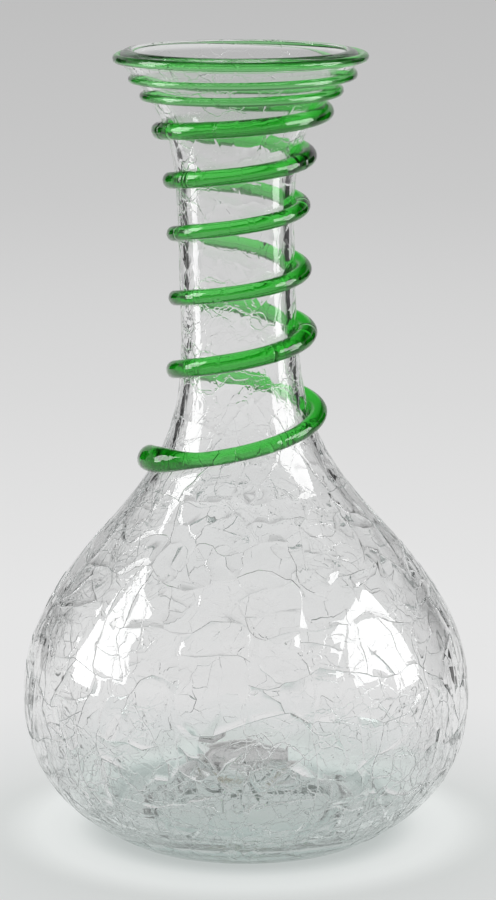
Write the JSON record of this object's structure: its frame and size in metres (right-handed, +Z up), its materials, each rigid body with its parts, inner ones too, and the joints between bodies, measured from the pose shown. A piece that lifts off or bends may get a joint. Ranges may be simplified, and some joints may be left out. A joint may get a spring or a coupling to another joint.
{
  "type": "glass vase",
  "caption": "Blown crackle glass vase with a round bulb, a tall narrow neck, a flared mouth and a green glass thread wound up the neck.",
  "frame": {"origin": "middle of the base, on the surface that the vase stands on", "axes": "+Z up from the base to the mouth; -Y is the front, the side that the picture shows; +X is to the right there"},
  "size_m": [0.1424, 0.1425, 0.25],
  "materials": {
    "crackle_glass": "clear blown glass, crackled by quenching and fire-polished",
    "green_glass": "clear green trailed glass, fire-polished",
    "broken_glass": "rough broken glass of the pontil scar"
  },
  "bodies": {
    "root": {"vase_body": "crackle_glass", "neck_thread": "green_glass", "pontil_scar": "broken_glass"}
  },
  "joints": []
}
